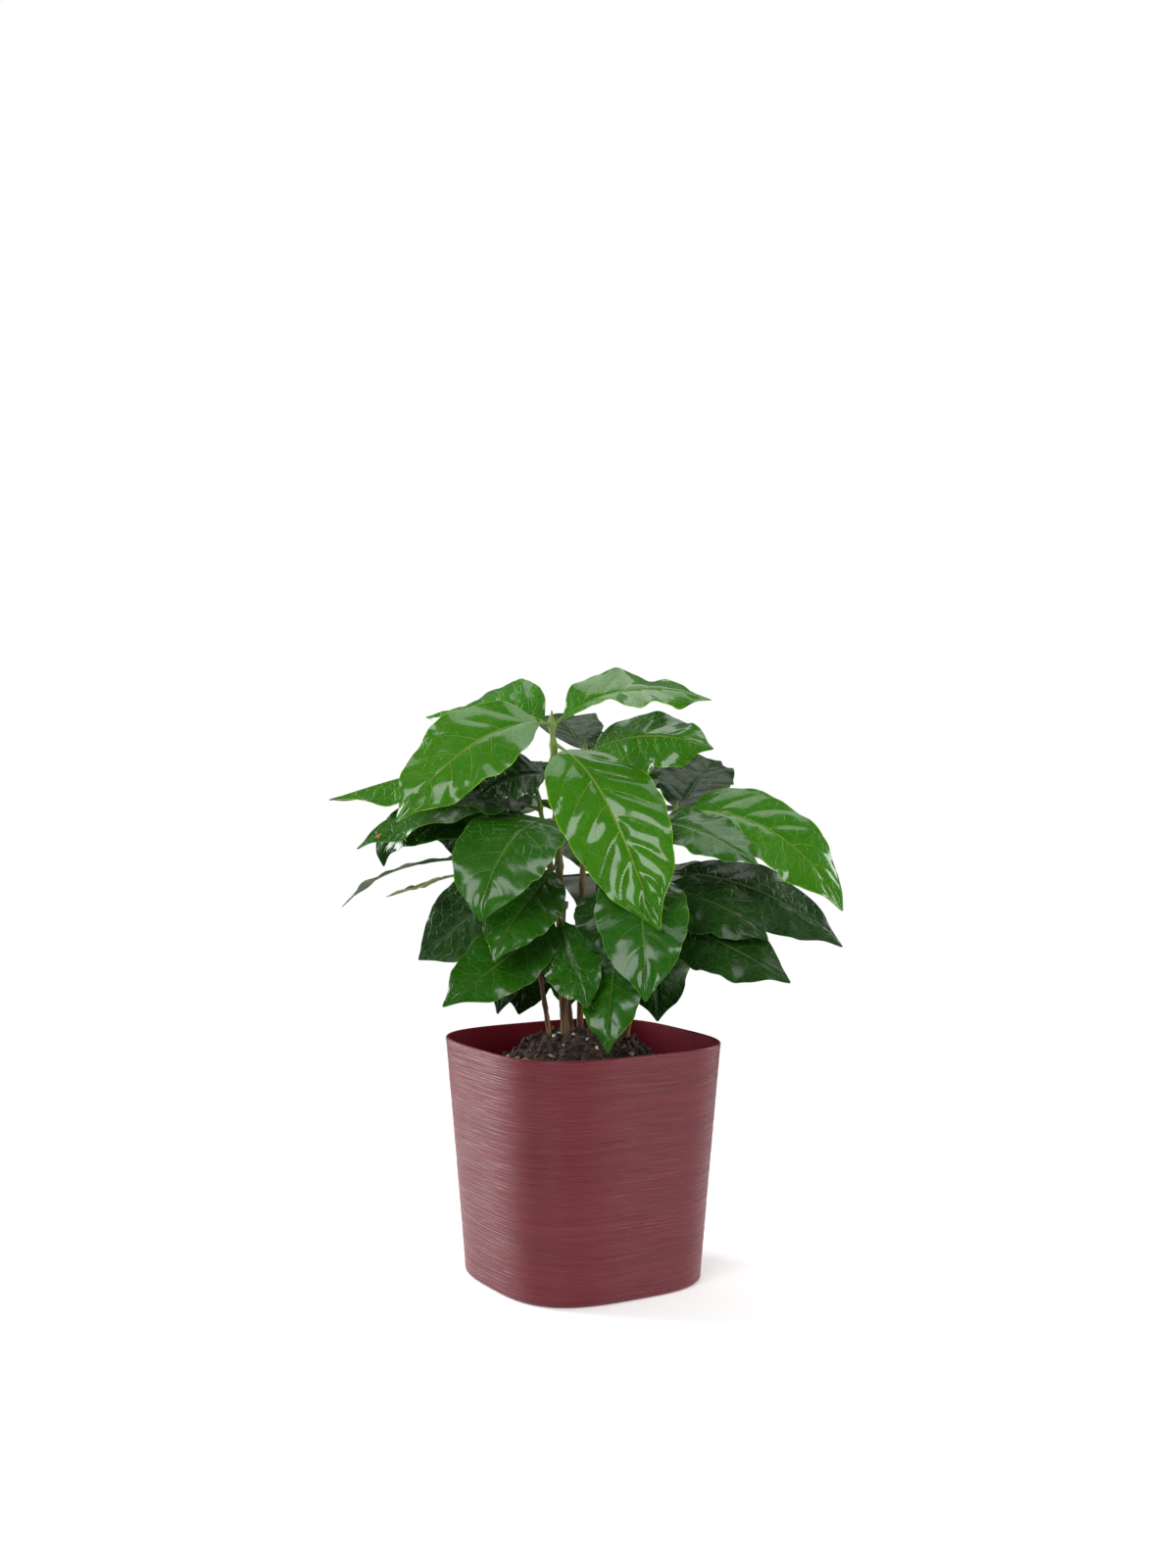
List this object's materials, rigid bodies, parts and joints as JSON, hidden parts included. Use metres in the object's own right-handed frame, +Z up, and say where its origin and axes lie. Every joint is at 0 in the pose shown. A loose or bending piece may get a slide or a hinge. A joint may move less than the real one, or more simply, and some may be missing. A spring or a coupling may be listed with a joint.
{
  "type": "potted coffee plant",
  "caption": "Young coffee plant with glossy drip-tip leaves on slim woody stems, standing in soil in a tapering rounded-square plastic planter.",
  "frame": {"origin": "centre of the planter's flat underside, on the surface it stands on", "axes": "+Z up; X and Y square to the planter's flat sides"},
  "size_m": [0.2659, 0.2129, 0.3497],
  "materials": {
    "planter": "satin moulded plastic with fine horizontal grain, berry red",
    "soil": "dark crumbly potting soil with white perlite grains",
    "stem": "brown bark, green near the top",
    "leaf_young": "glossy bright green leaf",
    "leaf_mature": "glossy mid-green leaf",
    "leaf_old": "glossy dark green leaf",
    "leaf_pale": "pale olive leaf, seen edge-on"
  },
  "bodies": {
    "root": {"planter": "planter", "soil": "soil", "stem_a": "stem", "stem_b": "stem", "stem_c": "stem", "stem_d": "stem", "stem_e": "stem", "stem_f": "stem", "stem_g": "stem", "stem_h": "stem", "leaf_a1": "leaf_young", "leaf_a2": "leaf_young", "leaf_a3": "leaf_young", "leaf_a4": "leaf_young", "leaf_a5": "leaf_mature", "leaf_a6": "leaf_mature", "leaf_a7": "leaf_mature", "leaf_a8": "leaf_mature", "leaf_a9": "leaf_old", "leaf_b1": "leaf_mature", "leaf_b2": "leaf_old", "leaf_b3": "leaf_mature", "leaf_b4": "leaf_mature", "leaf_b5": "leaf_old", "leaf_b6": "leaf_mature", "leaf_b7": "leaf_mature", "leaf_c1": "leaf_young", "leaf_c2": "leaf_young", "leaf_c3": "leaf_mature", "leaf_c4": "leaf_old", "leaf_c5": "leaf_mature", "leaf_c6": "leaf_old", "leaf_c7": "leaf_mature", "leaf_c8": "leaf_old", "leaf_d1": "leaf_pale", "leaf_d2": "leaf_old", "leaf_d3": "leaf_old", "leaf_d4": "leaf_old", "leaf_d5": "leaf_old", "leaf_d6": "leaf_mature", "leaf_e1": "leaf_old", "leaf_f1": "leaf_mature", "leaf_f2": "leaf_mature", "leaf_f3": "leaf_mature", "leaf_g1": "leaf_mature", "leaf_g2": "leaf_mature", "leaf_g3": "leaf_mature", "leaf_g4": "leaf_old", "leaf_g5": "leaf_old", "leaf_h1": "leaf_young", "leaf_h2": "leaf_old", "leaf_h3": "leaf_old", "leaf_h4": "leaf_old", "leaf_h5": "leaf_old", "leaf_h6": "leaf_old", "leaf_h7": "leaf_old", "leaf_h8": "leaf_old"}
  },
  "joints": []
}
